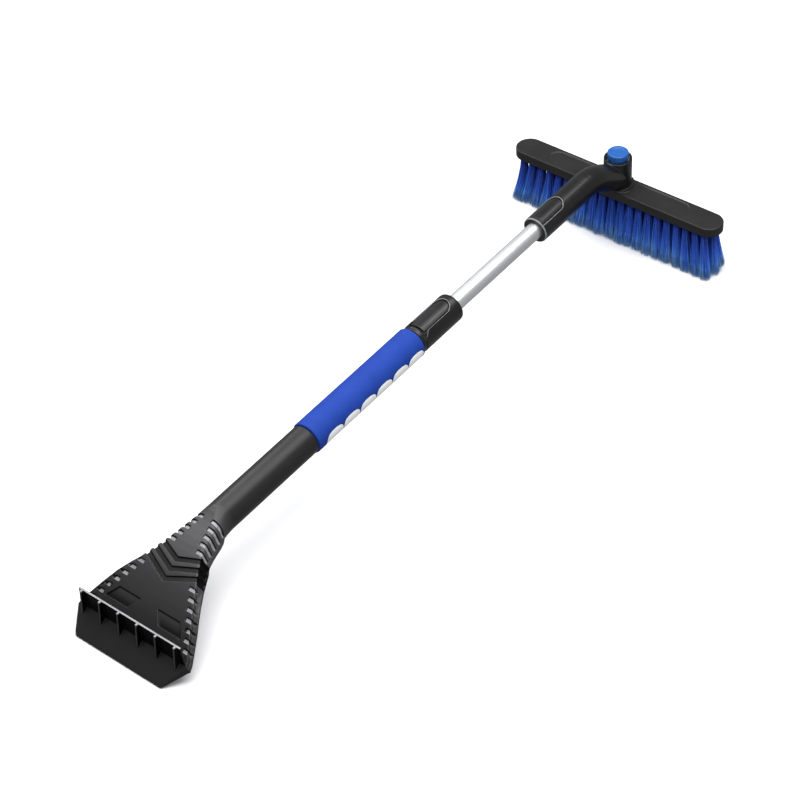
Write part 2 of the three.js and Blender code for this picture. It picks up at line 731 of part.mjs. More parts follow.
function lockWheel() {
  const wheel = slab(toothedShape(WHEEL.radius - WHEEL.tooth, WHEEL.tooth), WHEEL.bottom, WHEEL.top);
  return cut(wheel, upright(rodProfile(SPINDLE.screwHole, 0, 60), ROUND_SMALL));
}

function swivelSpindle() {
  const { radius, head, neck, screwHole } = SPINDLE;
  const top = WHEEL.bottom - GAP;
  const foot = -PLATE.thick;
  return upright([
    [0, foot + 1], [head, foot + 1], [head, foot + 4], [radius, foot + 4], [radius, CLIP.bottom - GAP],
    [neck, CLIP.bottom - GAP], [neck, CLIP.top + GAP], [radius, CLIP.top + GAP], [radius, top],
    [screwHole, top], [screwHole, top - 6], [0, top - 6],
  ], ROUND_SMALL);
}

function retainingClip() {
  const ring = upright(ringProfile(SPINDLE.neck + GAP, CLIP.outer, CLIP.bottom, CLIP.top), ROUND_SMALL);
  return cut(ring, box(0, 10, -2.6, 2.6, CLIP.bottom - 1, CLIP.top + 1));
}

function spindleScrew() {
  const seat = WHEEL.top + GAP;
  return upright([
    [0, WHEEL.bottom - 5], [1.8, WHEEL.bottom - 4.4], [1.8, seat], [3.6, seat], [3.6, seat + 1.2],
    [2.6, seat + 2], [0, seat + 2],
  ], ROUND_SMALL);
}

function buttonRing() {
  const { inner, outer, bottom, top } = BUTTON_RING;
  const ring = upright(ringProfile(inner, outer, bottom, top), 40);
  return cut(ring, box(0, 20, -2, 2, bottom - 1, top + 1));
}

function buttonSpring() {
  const { coil, wire, turns, bottom, top } = BUTTON_SPRING;
  const geometry = coilSpring(coil, wire, top - bottom, turns);
  geometry.translate(0, 0, bottom);
  return geometry;
}

// ---------------------------------------------------------------- brush plate and bristles

function brushPlate() {
  const { length, width, thick, bevel } = PLATE;
  const base = slab(stadium(length, width), -thick, 0, bevel);
  const recess = slab(stadium(PLATE_RECESS.length, PLATE_RECESS.width), -PLATE_RECESS.depth, 5);
  const disc = upright(rodProfile(PLATE_BOSS.radius, -2, PLATE_BOSS.height));
  const band = box(-40, 40, -width / 2 + 0.4, width / 2 - 0.4, -3, 5);
  const spindleSeat = upright([
    [0, -thick - 1], [SPINDLE.head + GAP, -thick - 1], [SPINDLE.head + GAP, -thick + 4 + GAP],
    [SPINDLE.radius + GAP, -thick + 4 + GAP], [SPINDLE.radius + GAP, 5], [0, 5],
  ], ROUND_SMALL);
  return cut(join(cut(base, recess), disc.intersect(band)), spindleSeat);
}

// One row of bristles as its outer shape: narrow at the plate, spread at the floor.
function bristleRow({ root, tip, rootLength, tipLength }) {
  const rootZ = PLATE_TOP - PLATE.thick - GAP;
  const ring = ([y0, y1], length, z) => [
    new THREE.Vector3(-length / 2, y0, z), new THREE.Vector3(length / 2, y0, z),
    new THREE.Vector3(length / 2, y1, z), new THREE.Vector3(-length / 2, y1, z),
  ];
  return loft([ring(tip, tipLength, 0), ring(root, rootLength, rootZ)]);
}

// ---------------------------------------------------------------- assembly

function group(height, slope = 0) {
  const made = new THREE.Group();
  made.position.z = height;
  made.rotation.x = slope;
  return made;
}

// The scraper, handle and sliding tube, in a frame that lies along the pole.
function poleParts() {
  const pole = group(PLATE_TOP + AXIS_ABOVE_PLATE, POLE_SLOPE);
  pole.add(part("scraper_head", scraperHead(), "blackPlastic"));
  pole.add(part("handle_tube", handleTube(), "greyPlastic"));
  pole.add(poleScrew("head_screw", HEAD_SCREW, HANDLE_RADIUS + GAP, 3.3));
  pole.add(part("grip_white_foam", whiteFoam(), "whiteFoam"));
  pole.add(part("grip_blue_foam", blueFoam(), "blueFoam"));
  pole.add(part("lock_collar", collarBody(), "blackPlastic"));
  pole.add(part("collar_bush", collarBush(), "nylon"));
  pole.add(poleScrew("collar_screw", COLLAR_SCREW, COLLAR.radius + GAP, 6.5));
  pole.add(part("lock_lever", tongueBody(LEVER), "blackPlastic"));
  pole.add(part("brake_pad", brakePad(), "rubber"));
  pole.add(part("lever_pin_left", pivotPin(LEVER, -1), "steel"));
  pole.add(part("lever_pin_right", pivotPin(LEVER, 1), "steel"));
  pole.add(part("inner_tube", innerTube(), "aluminium"));
  pole.add(part("tube_slider", tubeSlider(), "nylon"));
  pole.add(part("elbow_latch", elbowLatch(), "blackPlastic"));
  pole.add(part("latch_pin_left", pivotPin(LATCH, -1), "steel"));
  pole.add(part("latch_pin_right", pivotPin(LATCH, 1), "steel"));
  return pole;
}

// The elbow's barrel, its push button and the brush, in an upright frame over the plate.
function swivelParts() {
  const swivel = group(PLATE_TOP);
  swivel.add(part("elbow_housing", elbowHousing(), "blackPlastic"));
  swivel.add(part("swivel_button", pushButton(), "bluePlastic"));
  swivel.add(part("lock_sleeve", lockSleeve(), "nylon"));
  swivel.add(part("button_ring", buttonRing(), "steel"));
  swivel.add(part("button_spring", buttonSpring(), "steel"));
  swivel.add(part("thrust_washer", thrustWasher(), "nylon"));
  swivel.add(part("swivel_spindle", swivelSpindle(), "steel"));
  swivel.add(part("retaining_clip", retainingClip(), "steel"));
  swivel.add(part("lock_wheel", lockWheel(), "steel"));
  swivel.add(part("spindle_screw", spindleScrew(), "steel"));
  swivel.add(part("brush_plate", brushPlate(), "blackPlastic"));
  return swivel;
}

function bristleParts() {
  const rows = group(0);
  rows.add(part("bristles_front", bristleRow(BRISTLES.front), "bristle"));
  rows.add(part("bristles_middle", bristleRow(BRISTLES.middle), "bristle"));
  rows.add(part("bristles_back", bristleRow(BRISTLES.back), "bristle"));
  return rows;
}

const snowBrush = new THREE.Group();
snowBrush.position.y = CENTRE_Y;
snowBrush.add(poleParts(), swivelParts(), bristleParts());

export default snowBrush;
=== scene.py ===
"""Looks for the telescopic snow brush: camera, light, fine geometry and procedural materials."""

import json
import math
import random
from types import SimpleNamespace

import bpy
import numpy as np
from mathutils import Matrix, Vector

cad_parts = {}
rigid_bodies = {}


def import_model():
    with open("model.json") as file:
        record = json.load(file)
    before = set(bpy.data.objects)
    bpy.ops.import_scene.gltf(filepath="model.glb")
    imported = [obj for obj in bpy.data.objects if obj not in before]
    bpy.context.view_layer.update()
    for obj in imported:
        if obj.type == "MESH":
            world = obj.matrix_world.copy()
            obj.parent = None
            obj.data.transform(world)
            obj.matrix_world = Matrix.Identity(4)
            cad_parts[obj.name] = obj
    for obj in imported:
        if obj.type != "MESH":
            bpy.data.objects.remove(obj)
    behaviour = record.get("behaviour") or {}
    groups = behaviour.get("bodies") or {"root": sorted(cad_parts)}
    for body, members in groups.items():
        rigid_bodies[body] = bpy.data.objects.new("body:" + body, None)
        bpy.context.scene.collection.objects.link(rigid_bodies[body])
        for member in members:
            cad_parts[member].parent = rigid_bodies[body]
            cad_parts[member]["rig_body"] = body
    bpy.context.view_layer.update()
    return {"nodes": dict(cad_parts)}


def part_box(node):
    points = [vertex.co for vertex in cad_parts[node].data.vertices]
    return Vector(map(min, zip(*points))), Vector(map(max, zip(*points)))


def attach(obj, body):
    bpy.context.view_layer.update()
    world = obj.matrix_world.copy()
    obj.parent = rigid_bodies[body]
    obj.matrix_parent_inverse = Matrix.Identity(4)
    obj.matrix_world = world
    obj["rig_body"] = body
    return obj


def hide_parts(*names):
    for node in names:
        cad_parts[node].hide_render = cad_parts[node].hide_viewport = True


MM = 0.001

# ---------------------------------------------------------------- driving values

# The photograph's viewpoint, worked out from the object's own lines and circles.
CAMERA_AT = Vector((1.1221, -1.2731, 1.5330))
CAMERA_RIGHT = Vector((0.7772, 0.6275, -0.0464))
CAMERA_DOWN = Vector((0.3907, -0.5391, -0.7462))
CAMERA_LENS = 101.9
CAMERA_SENSOR = 36.0

# "Reach" is the distance along the pole from the swivel axis towards the scraper.
POLE_SLOPE = math.radians(3.2)
POLE_HEIGHT = 101.7 * MM  # pole centre line above the floor, at the swivel axis

# The foam grip: where it starts and ends by reach, and its two layers.
GRIP_FROM, GRIP_TO = 357.0 * MM, 519.0 * MM
WHITE_OUTER, WHITE_INNER = 16.2 * MM, 14.3 * MM
WHITE_SHORTER = 0.8 * MM  # at each end
WHITE_IN_SCALLOP = 0.8 * MM  # the white layer swells in a scallop
BLUE_OUTER, BLUE_INNER = 17.25 * MM, 14.4 * MM
BLUE_IN_SCALLOP = -1.6 * MM  # the blue skin dips under the white layer there
FOAM_RIM = 1.1 * MM
FOAM_UNEVEN = 0.05 * MM
FOAM_STEPS_ALONG = 300
FOAM_STEPS_ROUND = 132

# The grip's finger scallops, each a squared ellipse when it is seen from the side.
SCALLOPS = 6
FIRST_SCALLOP = 370.8 * MM
SCALLOP_PITCH = 24.9 * MM
SCALLOP_HALF = 12.25 * MM  # along the pole
SCALLOP_RISE = 11.4 * MM  # from its middle to its top
SCALLOP_DROP = 8.1 * MM  # its middle below the pole's centre line
SCALLOP_SQUARE = 3.2  # 2 would make an ellipse, more makes a squarer shape
SCALLOP_EDGE = 1.1 * MM

# How finely each moulding is rounded off: voxel size and smoothing steps.
ROUNDED = {
    "elbow_latch": (0.35 * MM, 3),
    "lock_lever": (0.35 * MM, 3),
    "brush_plate": (0.5 * MM, 3),
    "swivel_button": (0.35 * MM, 4),
}
SCRAPER_VOXEL = 0.45 * MM
WINDOW_VOXEL = 0.4 * MM
MOULDING_STEPS = 3

# The scraper's round sleeve, between the grip and the neck.
SLEEVE_START, SLEEVE_END = 520.5 * MM, 641.5 * MM
SLEEVE_RADIUS = 16.0 * MM
SLEEVE_SLACK = 0.5 * MM

# The scraper's fan: half its width where it starts and ends, and the outside along its middle.
FAN_START, FAN_START_HALF = 712 * MM, 33.8 * MM
FAN_END, FAN_END_HALF = 771.5 * MM, 68.5 * MM
FAN_EDGE = 2.6 * MM
TOP_REACH = (645, 655, 666, 680, 694, 702, 712, 795)
TOP_HEIGHT = (15.7, 13.2, 10.4, 7.2, 2.6, -0.8, -5.6, -55.8)

# The scraper's notches: first reach, pitch and count, and half widths without and with the walls.
LOWER_NOTCHES = (718.3 * MM, 7.2 * MM, 7)
UPPER_NOTCHES = (658.2 * MM, 7.7 * MM, 5)
NOTCH_HALF = 1.35 * MM
NOTCH_WALL = 2.4 * MM

# The V grooves' zone, by reach at the middle of the fan, and how fast it falls back sideways.
V_ZONE = (699.5 * MM, 725.5 * MM)
V_SWEEP = 0.37

# The two pockets, and the upright wall with its fins.
POCKET_REAR, POCKET_FRONT = 744.0 * MM, 758.5 * MM
POCKET_INNER, POCKET_OUTER = 9 * MM, 48.5 * MM
WALL_TOP = -18.6 * MM
WALL_BACK, WALL_FRONT = 768.5 * MM, 775.5 * MM
FINS_FROM = 773.3 * MM

# The two windows with a pressed tongue: from and to by reach, and half width.
TONGUES = {
    "lock_collar": (301.1 * MM, 347.6 * MM, 10.1 * MM),
    "elbow_housing": (107.8 * MM, 147.6 * MM, 10.3 * MM),
}
RIM_WIDTH = 0.5 * MM
RIM_OUT = 0.25 * MM
FLARE_START, FLARE_LENGTH, FLARE_OUT = 342.0 * MM, 8.0 * MM, 4.2 * MM
ELBOW_MOUTH = 151.0 * MM
MOUTH_RADII = (13.5 * MM, 15.5 * MM)

# Each row of bristles, in millimetres: where its roots stand and how far out its tips reach,
# from the plate's centre line, and half of its length at each.
ROWS = {
    "bristles_front": {"root_y": -9.6, "tip_y": (-22.0, -7.4), "root_half": 119.0, "tip_half": 131.5},
    "bristles_middle": {"root_y": 0.0, "tip_y": (-7.4, 7.4), "root_half": 124.0, "tip_half": 134.5},
    "bristles_back": {"root_y": 9.6, "tip_y": (7.4, 22.0), "root_half": 119.0, "tip_half": 131.5},
}
TUFTS = 21
TUFT_RADIUS = 3.9 * MM
TUFT_STRANDS = 9  # a tuft's filaments cling together in this many strands
TUFT_WANDER = 1.6 * MM
TUFT_SHORTER = 1.0 * MM  # at most, for a whole tuft
LOOSE = 0.74  # 1 would spread the filaments evenly over the tuft
TIP_SPREAD = 8.6 * MM
TIP_JITTER = 0.8 * MM
TIP_UNEVEN = 3.0 * MM
FILAMENTS = 190
FILAMENT_RADIUS = 0.34 * MM
FILAMENT_TAPER = 0.35
FILAMENT_RINGS = 5
FILAMENT_BOW = 0.5 * MM
ROOT_SUNK = 0.2 * MM
BRISTLE_HEIGHT = 54 * MM

LIGHTS = {
    "top": {"at": (0.15, 0.1, 2.3), "aim": (0.05, 0, 0.0), "size": (2.2, 3.0), "power": 92},
    "left": {"at": (-1.5, 0.5, 1.7), "aim": (0, 0, 0.05), "size": (0.6, 1.8), "power": 20},
    "side": {"at": (1.8, -0.3, 0.6), "aim": (0, 0.1, 0.05), "size": (0.4, 1.4), "power": 9},
}
WORLD_STRENGTH = 0.32
FLOOR_HALF = 6.0
FLOOR_BELOW = 0.6 * MM

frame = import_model()
NODES = frame["nodes"]
random.seed(20)


# ---------------------------------------------------------------- the pole's own frame


def pole_frame():
    """Pole frame: X across, -Y along the pole away from the swivel, Z square to the pole."""
    low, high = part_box("swivel_button")
    swivel_y = (low.y + high.y) / 2
    return Matrix.Translation((0, swivel_y, POLE_HEIGHT)) @ Matrix.Rotation(POLE_SLOPE, 4, "X")


POLE = pole_frame()


def pole_point(reach, across=0.0, height=0.0):
    return POLE @ Vector((across, -reach, height))


def round_pole(reach, radius, angle):
    """A point at a radius from the pole's centre line, with angle 0 on top."""
    return pole_point(reach, radius * math.sin(angle), radius * math.cos(angle))


def face_places(mesh):
    """Where each face of a mesh lies in the pole's frame, and how far it looks each way.

    sideways, forward and up are the parts of the face's normal, each from -1 to 1, with forward
    towards the blade. A face with up at 0.72 is 44 degrees from level.
    """
    count = len(mesh.polygons)
    centres = np.zeros(count * 3)
    normals = np.zeros(count * 3)
    mesh.polygons.foreach_get("center", centres)
    mesh.polygons.foreach_get("normal", normals)
    to_pole = np.array(POLE.inverted())
    centres = centres.reshape(-1, 3) @ to_pole[:3, :3].T + to_pole[:3, 3]
    normals = normals.reshape(-1, 3) @ to_pole[:3, :3].T
    return SimpleNamespace(
        across=np.abs(centres[:, 0]),
        reach=-centres[:, 1],
        height=centres[:, 2],
        sideways=np.abs(normals[:, 0]),
        forward=-normals[:, 1],
        up=normals[:, 2],
    )


# ---------------------------------------------------------------- material helpers

GRAIN_SCALE = 1400.0
GRAIN_DEPTH = 0.00006
GLOSS_SCALE = 90.0
BLOTCH_SCALE = 28.0


def grey(value, tint=1.04):
    return (value, value, value * tint)


def new_material(name, roughness, metallic=0.0, specular=0.38):
    material = bpy.data.materials.new(name)
    material.use_nodes = True
    shader = material.node_tree.nodes["Principled BSDF"]
    shader.inputs["Roughness"].default_value = roughness
    shader.inputs["Metallic"].default_value = metallic
    shader.inputs["Specular IOR Level"].default_value = specular
    return material, shader


def add_node(material, kind, **inputs):
    node = material.node_tree.nodes.new(kind)
    for key, value in inputs.items():
        node.inputs[key.replace("_", " ")].default_value = value
    return node


def link(material, source, target):
    material.node_tree.links.new(source, target)


def object_coordinates(material):
    """The piece's own coordinates, so that a pattern rides with it."""
    return add_node(material, "ShaderNodeTexCoord").outputs["Object"]


def axis_share(material, axis, start, end):
    """0 where the piece's own coordinate is start, and 1 where it is end."""
    split = add_node(material, "ShaderNodeSeparateXYZ")
    link(material, object_coordinates(material), split.inputs["Vector"])
    share = add_node(material, "ShaderNodeMapRange", From_Min=start, From_Max=end)
    link(material, split.outputs[axis], share.inputs["Value"])
    return share.outputs["Result"]


def along_pole(material, near, far):
    """0 at the reach called near and 1 at the reach called far, for any place on the piece."""
    return axis_share(material, "Y", pole_point(near).y, pole_point(far).y)


def noise(material, vector, scale, detail=3.0):
    texture = add_node(material, "ShaderNodeTexNoise", Scale=scale, Detail=detail, Roughness=0.5)
    link(material, vector, texture.inputs["Vector"])
    return texture.outputs["Fac"]


def ramp(material, factor, stops):
    """A colour ramp from (position, colour) pairs."""
    node = add_node(material, "ShaderNodeValToRGB")
    elements = node.color_ramp.elements
    elements[0].position, elements[0].color = stops[0][0], (*stops[0][1], 1)
    elements[1].position, elements[1].color = stops[-1][0], (*stops[-1][1], 1)
    for position, colour in stops[1:-1]:
        element = elements.new(position)
        element.color = (*colour, 1)
    link(material, factor, node.inputs["Fac"])
    return node.outputs["Color"]


def two_tone(material, factor, dark, light):
    return ramp(material, factor, [(0.3, dark), (0.7, light)])


def spread(material, factor, low, high):
    """Maps a 0 to 1 value onto low to high."""
    node = add_node(material, "ShaderNodeMapRange", To_Min=low, To_Max=high)
    link(material, factor, node.inputs["Value"])
    return node.outputs["Result"]


def bump(material, height, strength, distance):
    node = add_node(material, "ShaderNodeBump", Strength=strength, Distance=distance)
    link(material, height, node.inputs["Height"])
    return node.outputs["Normal"]


def grain(material, shader, where, strength):
    """The fine grain that a spark-eroded mould leaves."""
    fine = noise(material, where, GRAIN_SCALE, 2.0)
    link(material, bump(material, fine, strength, GRAIN_DEPTH), shader.inputs["Normal"])


def gloss(material, shader, where, low, high):
    """Roughness that drifts between low and high."""
    drift = noise(material, where, GLOSS_SCALE, 4.0)
    link(material, spread(material, drift, low, high), shader.inputs["Roughness"])


# ---------------------------------------------------------------- materials

# Grey tones of painted sheen, by share of the way along: the scraper's face, from the neck to the
# blade, and the pockets' floors, from their rear to their front.
FACE_FROM, FACE_TO = 640 * MM, 800 * MM
FACE_SHEEN_TONES = ((0.0, 0.012), (0.1, 0.042), (0.35, 0.05), (0.5, 0.03), (0.7, 0.012), (1.0, 0.009))
POCKET_SHEEN_TONES = ((0.0, 0.03), (0.5, 0.006), (1.0, 0.0005))

# The filaments' blues, from their tips up to their roots.
BRISTLE_BLUES = (
    (0.0, (0.3, 0.66, 1.0)),
    (0.2, (0.1, 0.36, 0.96)),
    (0.4, (0.03, 0.17, 0.82)),
    (0.7, (0.014, 0.1, 0.66)),
    (1.0, (0.005, 0.04, 0.36)),
)


def moulded_plastic(name, dark, light, roughness, grained=0.25, specular=0.34):
    """Injection-moulded plastic: fine grain, faint blotches and uneven gloss."""
    material, shader = new_material(name, roughness, specular=specular)
    where = object_coordinates(material)
    blotch = noise(material, where, BLOTCH_SCALE)
    link(material, two_tone(material, blotch, dark, light), shader.inputs["Base Color"])
    gloss(material, shader, where, roughness - 0.07, roughness + 0.09)
    grain(material, shader, where, grained)
    return material


def pocket_sheen_plastic():
    """The pockets' floors, with painted sheen: paler towards the grip and deep black towards the
    blade.
    """
    material, shader = new_material("pocket_sheen_black", 0.3, specular=0.12)
    share = along_pole(material, POCKET_REAR, POCKET_FRONT)
    stops = [(position, grey(tone)) for position, tone in POCKET_SHEEN_TONES]
    link(material, ramp(material, share, stops), shader.inputs["Base Color"])
    grain(material, shader, object_coordinates(material), 0.2)
    return material


def scraper_sheen_plastic():
    """The scraper's face with painted sheen: pale on the neck, and blacker towards the blade."""
    material, shader = new_material("scraper_sheen_black", 0.36, specular=0.3)
    share = along_pole(material, FACE_FROM, FACE_TO)
    stops = [(position, grey(tone)) for position, tone in FACE_SHEEN_TONES]
    link(material, ramp(material, share, stops), shader.inputs["Base Color"])
    where = object_coordinates(material)
    gloss(material, shader, where, 0.3, 0.44)
    grain(material, shader, where, 0.25)
    return material


def foam(name, dark, light):
    """Closed-cell foam: matt, with fine cells and a soft uneven skin."""
    material, shader = new_material(name, 0.72, specular=0.25)
    where = object_coordinates(material)
    tone = noise(material, where, 55.0, 5.0)
    link(material, two_tone(material, tone, dark, light), shader.inputs["Base Color"])
    cells = add_node(material, "ShaderNodeTexVoronoi", Scale=1500.0)
    link(material, where, cells.inputs["Vector"])
    link(material, bump(material, cells.outputs["Distance"], 0.35, 0.0001), shader.inputs["Normal"])
    return material


def drawn_aluminium():
    """Drawn tube with a satin sheen and fine lines along its length."""
    material, shader = new_material("aluminium_tube", 0.24, metallic=1.0)
    along = add_node(material, "ShaderNodeMapping")
    along.vector_type = "TEXTURE"
    along.inputs["Scale"].default_value = (1, 60, 1)
    along.inputs["Rotation"].default_value = (POLE_SLOPE, 0, 0)
    link(material, object_coordinates(material), along.inputs["Vector"])
    lines = noise(material, along.outputs["Vector"], 900.0, 2.0)
    tones = two_tone(material, lines, (0.86, 0.87, 0.88), (0.91, 0.92, 0.93))
    link(material, tones, shader.inputs["Base Color"])
    link(material, spread(material, lines, 0.36, 0.42), shader.inputs["Roughness"])
    return material


def plated_steel():
    """Dull zinc plating with cloudy marks."""
    material, shader = new_material("plated_steel", 0.32, metallic=1.0)
    marks = noise(material, object_coordinates(material), 320.0, 4.0)
    tones = two_tone(material, marks, (0.52, 0.53, 0.55), (0.7, 0.71, 0.72))
    link(material, tones, shader.inputs["Base Color"])
    link(material, spread(material, marks, 0.25, 0.42), shader.inputs["Roughness"])
    return material


def bristle_fibre():
    """Blue filaments, pale at their tips and darker towards their roots, each one slightly its own
    blue.
    """
    material, shader = new_material("bristle_fibre", 0.42)
    height = axis_share(material, "Z", 0.0, BRISTLE_HEIGHT)
    island = add_node(material, "ShaderNodeNewGeometry")
    shift = spread(material, island.outputs["Random Per Island"], -0.2, 0.3)
    total = add_node(material, "ShaderNodeMath")
    link(material, height, total.inputs[0])
    link(material, shift, total.inputs[1])
    blues = ramp(material, total.outputs["Value"], BRISTLE_BLUES)
    link(material, blues, shader.inputs["Base Color"])
    shader.inputs["Sheen Weight"].default_value = 0.1
    return material


def make_materials():
    plastic = moulded_plastic
    dark_blue, light_blue = (0.012, 0.08, 0.3), (0.016, 0.1, 0.36)
    return {
        "black": plastic("black_plastic", grey(0.003), grey(0.006), 0.3, specular=0.5),
        # Painted shade: near black and barely reflecting, for the walls of grooves, notches and
        # pockets and the faces between the fins.
        "recess_shade": plastic("recess_shade_black", grey(0.001), grey(0.002), 0.5, specular=0.08),
        # Painted shade: a darker, matt floor for the V grooves.
        "groove_shade": plastic("groove_shade_black", grey(0.008), grey(0.022), 0.6, 0.6, specular=0.16),
        # Painted sheen on the pockets' floors, paler at the rear.
        "pocket_sheen": pocket_sheen_plastic(),
        # Painted sheen: the scraper's face is paler on the neck and blacker towards the blade.
        "scraper": scraper_sheen_plastic(),
        # Painted glint: a pale grey for the notches' floors.
        "notch_glint": plastic("notch_glint_black", grey(0.2), grey(0.34), 0.3, 0.1),
        # Painted highlight: a pale grey for the top of the upright wall and the rims of the windows
        # and the elbow's mouth.
        "edge_highlight": plastic("edge_highlight_rim", grey(0.2), grey(0.32), 0.3, 0.1),
        "plate": plastic("plate_plastic", grey(0.008), grey(0.014), 0.4),
        # Painted highlight, faint: a dark grey for the fins' front edges and the lower notches' side
        # walls.
        "fin_edge_highlight": plastic("fin_edge_highlight", grey(0.03), grey(0.05), 0.3, 0.1),
        "tube": plastic("tube_plastic", grey(0.016), grey(0.026), 0.42),
        "button": plastic("blue_plastic", dark_blue, light_blue, 0.26, 0.15),
        "nylon": plastic("natural_nylon", (0.62, 0.6, 0.54), (0.72, 0.7, 0.64), 0.5),
        "rubber": plastic("pad_rubber", grey(0.015, 1), grey(0.03, 1), 0.8, 0.5),
        "blue_foam": foam("blue_foam", (0.006, 0.038, 0.28), (0.008, 0.046, 0.32)),
        "white_foam": foam("white_foam", grey(0.92, 1.01), grey(0.96, 1.01)),
        "aluminium": drawn_aluminium(),
        "steel": plated_steel(),
        "bristle": bristle_fibre(),
    }


# ---------------------------------------------------------------- finishing CAD nodes

# Nodes that aren't listed are plated steel.
FINISHES = {
    "scraper_head": "black",
    "lock_collar": "black",
    "lock_lever": "black",
    "elbow_housing": "black",
    "elbow_latch": "black",
    "brush_plate": "plate",
    "handle_tube": "tube",
    "swivel_button": "button",
    "collar_bush": "nylon",
    "tube_slider": "nylon",
    "thrust_washer": "nylon",
    "lock_sleeve": "nylon",
    "brake_pad": "rubber",
    "inner_tube": "aluminium",
}
SHARP_ANGLE = 35
FOAM_SHARP_ANGLE = 60


def paint(obj, *looks):
    obj.data.materials.clear()
    for look in looks:
        obj.data.materials.append(look)


def smooth_shading(obj, angle):
    """Smooth shading that still breaks at sharp edges."""
    obj.data.shade_smooth()
    obj.data.set_sharp_from_angle(angle=math.radians(angle))


def round_off(obj, voxel, steps):
    """Melts a faceted moulding's edges into the small radii that a mould gives."""
    remesh = obj.modifiers.new("rounded", "REMESH")
    remesh.mode = "VOXEL"
    remesh.voxel_size = voxel
    remesh.use_smooth_shade = True
    soft = obj.modifiers.new("softened", "SMOOTH")
    soft.factor = 0.5
    soft.iterations = steps


def finish_nodes(materials):
    for name, obj in NODES.items():
        paint(obj, materials[FINISHES.get(name, "steel")])
        smooth_shading(obj, SHARP_ANGLE)
        if name in ROUNDED:
            round_off(obj, *ROUNDED[name])


# ---------------------------------------------------------------- making new pieces


def add_object(name, mesh):
    obj = bpy.data.objects.new(name, mesh)
    bpy.context.scene.collection.objects.link(obj)
    return obj


def new_object(name, vertices, faces, material):
    mesh = bpy.data.meshes.new(name)
    mesh.from_pydata([tuple(v) for v in vertices], [], faces)
    mesh.update()
    obj = add_object(name, mesh)
    paint(obj, material)
    mesh.shade_smooth()
    return obj


def bake_modifiers(obj):
    depsgraph = bpy.context.evaluated_depsgraph_get()
    baked = bpy.data.meshes.new_from_object(obj.evaluated_get(depsgraph))
    baked.name = obj.name
    obj.modifiers.clear()
    obj.data = baked
    baked.shade_smooth()


def rounded_copy(node, name, voxel):
    """A copy of a CAD node with the small radii of a moulding."""
    obj = add_object(name, NODES[node].data.copy())
    round_off(obj, voxel, MOULDING_STEPS)
    bake_modifiers(obj)
    return obj


# ---------------------------------------------------------------- foam grip


def scallop_share(reach, height):
    """1 inside a finger scallop, 0 outside it, with a soft edge between."""
    best = 0.0
    for i in range(SCALLOPS):
        along = abs(reach - FIRST_SCALLOP - i * SCALLOP_PITCH) / SCALLOP_HALF
        up = abs(height + SCALLOP_DROP) / SCALLOP_RISE
        away = (along**SCALLOP_SQUARE + up**SCALLOP_SQUARE) ** (1 / SCALLOP_SQUARE)
        share = (1 - away) * SCALLOP_HALF / SCALLOP_EDGE + 0.5
        best = max(best, min(max(share, 0.0), 1.0))
    return best * best * (3 - 2 * best)


def end_rounding(reach, start, end):
    """How far the sleeve's outside draws in near its ends, as a quarter circle."""
    from_end = min(reach - start, end - reach)
    return FOAM_RIM - math.sqrt(max(FOAM_RIM**2 - max(FOAM_RIM - from_end, 0.0) ** 2, 0.0))


def skin_ripple(reach, angle):
    """Two slow waves, one along the grip and one round it, that keep the foam from being exact."""
    lengthwise = math.sin(reach / (9 * MM) + 3 * angle)
    round_it = math.sin(2 * angle + reach / (14 * MM))
    return FOAM_UNEVEN * lengthwise * round_it


def foam_tube(name, node, material, outer, inner, start, end, in_scallop):
    """A foam sleeve round the pole whose radius changes by in_scallop where the scallops are."""
    angles = [math.tau * k / FOAM_STEPS_ROUND for k in range(FOAM_STEPS_ROUND)]
    vertices, faces = [], []
    for i in range(FOAM_STEPS_ALONG + 1):
        reach = start + (end - start) * i / FOAM_STEPS_ALONG
        rounding = end_rounding(reach, start, end)
        for angle in angles:
            dip = in_scallop * scallop_share(reach, outer * math.cos(angle))
            radius = outer + dip - rounding + skin_ripple(reach, angle)
            vertices.append(round_pole(reach, radius, angle))
    for reach in (end, start):
        vertices += [round_pole(reach, inner, angle) for angle in angles]
    rings = FOAM_STEPS_ALONG + 3
    for i in range(rings):
        this_ring = i * FOAM_STEPS_ROUND
        next_ring = (i + 1) % rings * FOAM_STEPS_ROUND
        for k in range(FOAM_STEPS_ROUND):
            after = (k + 1) % FOAM_STEPS_ROUND
            faces.append((this_ring + k, this_ring + after, next_ring + after, next_ring + k))
    obj = new_object(name, vertices, faces, material)
    smooth_shading(obj, FOAM_SHARP_ANGLE)
    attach(obj, "handle")
    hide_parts(node)
    return obj


def foam_grip(materials):
    foam_tube("foam_white_layer", "grip_white_foam", materials["white_foam"], WHITE_OUTER, WHITE_INNER,
              GRIP_FROM + WHITE_SHORTER, GRIP_TO - WHITE_SHORTER, WHITE_IN_SCALLOP)
    foam_tube("foam_blue_skin", "grip_blue_foam", materials["blue_foam"], BLUE_OUTER, BLUE_INNER,
              GRIP_FROM, GRIP_TO, BLUE_IN_SCALLOP)


# ---------------------------------------------------------------- scraper head

# The looks that the scraper's faces can have. The first is for every face that isn't picked out; the
# rest paint shade, sheen, glints and highlights.
SCRAPER_LOOKS = ("scraper", "notch_glint", "recess_shade", "groove_shade", "pocket_sheen", "edge_highlight", "fin_edge_highlight")


def notch_index(reach, row, half):
    """For each reach, the notch it lies in, or -1 between notches."""
    first, pitch, count = row
    index = np.rint((reach - first) / pitch).astype(int)
    inside = (np.abs(reach - first - index * pitch) < half) & (index >= 0) & (index < count)
    return np.where(inside, index, -1)


def fan_half(reach):
    share = (reach - FAN_START) / (FAN_END - FAN_START)
    return FAN_START_HALF + share * (FAN_END_HALF - FAN_START_HALF)


